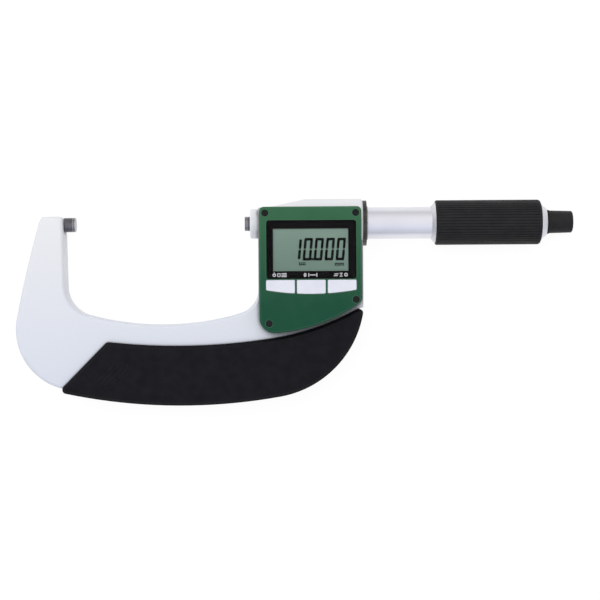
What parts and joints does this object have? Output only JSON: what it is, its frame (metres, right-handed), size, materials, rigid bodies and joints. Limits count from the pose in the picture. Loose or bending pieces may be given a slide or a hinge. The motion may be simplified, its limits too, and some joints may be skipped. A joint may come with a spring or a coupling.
{
  "type": "digital micrometer",
  "caption": "Deep-frame digital outside micrometer with display unit, moulded grips, ribbed thimble and ratchet, opened fully and lying on its back.",
  "frame": {"origin": "centre of the anvil's measuring face", "axes": "+X along the spindle axis towards the thimble, +Y up in front view, away from the grips, +Z out of the display side"},
  "size_m": [0.2464, 0.0907, 0.0241],
  "materials": {
    "lacquer": "satin",
    "satin_chrome": "satin",
    "ground_steel": "satin",
    "hard_metal": "satin",
    "black_moulding": "matte",
    "black_sleeve": "satin",
    "green_cover": "satin",
    "white_key": "satin",
    "clear_window": "gloss",
    "black_print": "gloss",
    "display_glass": "satin",
    "dark_steel": "satin",
    "black_screw": "satin",
    "bronze": "satin",
    "seal_rubber": "matte",
    "white_nylon": "matte",
    "board": "satin",
    "ribbon": "gloss",
    "cell_steel": "gloss",
    "spring_steel": "gloss"
  },
  "bodies": {
    "body": {"frame": "lacquer", "anvil": "ground_steel", "anvil_tip": "hard_metal", "wiper_seal": "seal_rubber", "spindle_bush": "bronze", "barrel": "satin_chrome", "adjusting_nut": "ground_steel", "lock_ring_clip": "spring_steel", "lock_pin": "bronze", "encoder_stator": "board", "encoder_ribbon": "ribbon", "thrust_washer": "white_nylon", "front_grip": "black_moulding", "rear_grip": "black_moulding", "display_cover": "green_cover", "cover_gasket": "seal_rubber", "cover_screws": "black_screw", "display_window": "clear_window", "window_mask": "black_print", "lcd_glass": "display_glass", "lcd_carrier": "white_nylon", "contact_strips": "seal_rubber", "circuit_board": "board", "board_screws": "ground_steel", "key_switches": "spring_steel", "battery": "cell_steel", "battery_contacts": "bronze", "cap_seal": "seal_rubber"},
    "rotor": {"encoder_rotor": "board", "rotor_hub": "bronze"},
    "spindle_unit": {"spindle": "ground_steel", "spindle_tip": "hard_metal", "thimble": "satin_chrome", "thimble_grip": "black_sleeve", "thimble_nut": "satin_chrome", "ratchet_plate": "ground_steel", "ratchet_spring": "spring_steel", "ratchet_screw": "ground_steel"},
    "knob": {"ratchet_knob": "black_sleeve", "knob_cap": "black_sleeve"},
    "clamp_ring": {"lock_ring": "dark_steel"},
    "left_key": {"key_left": "white_key"},
    "middle_key": {"key_middle": "white_key"},
    "right_key": {"key_right": "white_key"},
    "bay_cap": {"battery_cap": "black_moulding"}
  },
  "joints": [
    {"name": "rotor_turn", "type": "hinge", "parent": "body", "child": "rotor", "pos_m": [0.11, 0, 0], "axis": [1, 0, 0], "range_deg": [-18000, 0]},
    {"name": "spindle_travel", "type": "slide", "parent": "rotor", "child": "spindle_unit", "axis": [1, 0, 0], "range_m": [-0.025, 0]},
    {"name": "ratchet_turn", "type": "hinge", "parent": "spindle_unit", "child": "knob", "pos_m": [0.215, 0, 0], "axis": [1, 0, 0], "continuous": true},
    {"name": "lock_turn", "type": "hinge", "parent": "body", "child": "clamp_ring", "pos_m": [0.128, 0, 0], "axis": [1, 0, 0], "range_deg": [0, 35]},
    {"name": "left_key_press", "type": "slide", "parent": "body", "child": "left_key", "axis": [0, 0, -1], "range_m": [0, 0.0006], "stiffness_N_per_m": 1500},
    {"name": "middle_key_press", "type": "slide", "parent": "body", "child": "middle_key", "axis": [0, 0, -1], "range_m": [0, 0.0006], "stiffness_N_per_m": 1500},
    {"name": "right_key_press", "type": "slide", "parent": "body", "child": "right_key", "axis": [0, 0, -1], "range_m": [0, 0.0006], "stiffness_N_per_m": 1500},
    {"name": "bay_cap_turn", "type": "hinge", "parent": "body", "child": "bay_cap", "pos_m": [0.10296, -0.024, -0.0095], "axis": [0, 0, -1], "range_deg": [0, 60]}
  ],
  "couplings": [
    {"joint": "rotor_turn", "follows": "spindle_travel", "rad_per_m": 12566}
  ]
}
